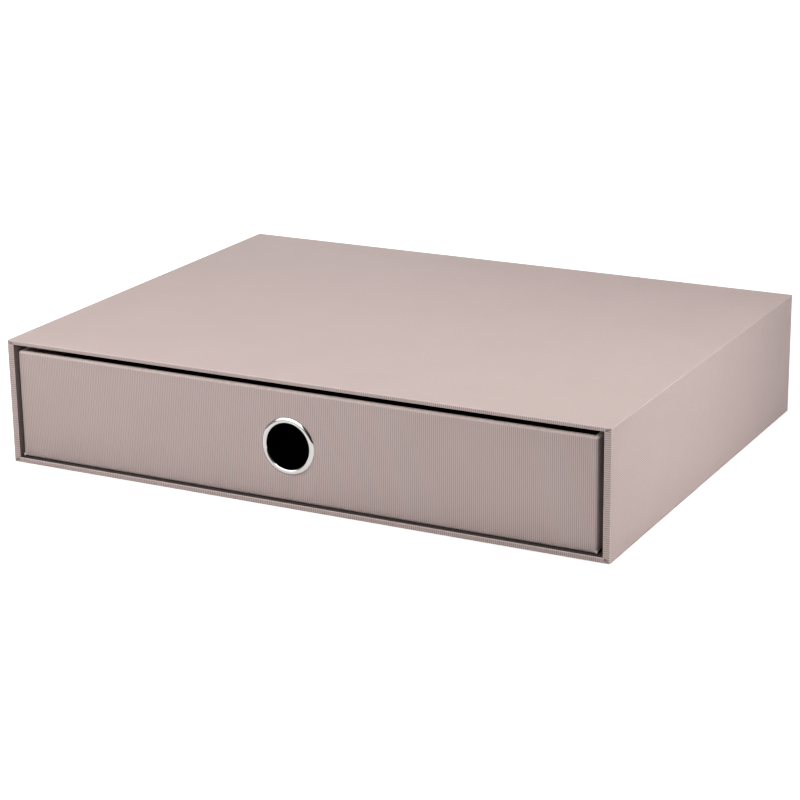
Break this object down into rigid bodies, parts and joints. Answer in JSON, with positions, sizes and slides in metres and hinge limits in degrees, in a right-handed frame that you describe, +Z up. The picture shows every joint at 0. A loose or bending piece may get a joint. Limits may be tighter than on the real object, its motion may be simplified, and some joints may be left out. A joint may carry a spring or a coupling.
{
  "type": "file box with drawer",
  "caption": "Slim paper-covered board slipcase for A4 sheets, with a drawer that slides out of its open front by a metal-edged finger hole.",
  "frame": {"origin": "middle of the case's underside, on the surface that it stands on", "axes": "+X left to right along the front, +Y from the open front to the back, +Z up"},
  "size_m": [0.335, 0.253, 0.066],
  "materials": {
    "greyboard": "raw grey pulp board",
    "ribbed_paper": "matte, finely ribbed, dusty rose",
    "lining_paper": "smooth matte black",
    "plated_steel": "bright nickel plate"
  },
  "bodies": {
    "case": {"case_bottom_board": "greyboard", "case_top_board": "greyboard", "case_left_outer_board": "greyboard", "case_left_inner_board": "greyboard", "case_right_outer_board": "greyboard", "case_right_inner_board": "greyboard", "case_back_board": "greyboard", "case_cover_paper": "ribbed_paper", "case_base_paper": "ribbed_paper", "case_back_paper": "ribbed_paper", "case_back_lining": "lining_paper", "case_floor_lining": "lining_paper", "case_ceiling_lining": "lining_paper", "case_left_lining": "lining_paper", "case_right_lining": "lining_paper"},
    "drawer": {"drawer_floor_board": "greyboard", "drawer_front_board": "greyboard", "drawer_back_board": "greyboard", "drawer_left_board": "greyboard", "drawer_right_board": "greyboard", "drawer_cover_paper": "ribbed_paper", "drawer_base_paper": "ribbed_paper", "drawer_wall_lining": "lining_paper", "drawer_floor_lining": "lining_paper", "finger_hole_eyelet": "plated_steel", "finger_hole_washer": "plated_steel"}
  },
  "joints": [
    {"name": "drawer_slide", "type": "slide", "parent": "case", "child": "drawer", "axis": [0, -1, 0], "range_m": [0, 0.2]}
  ]
}
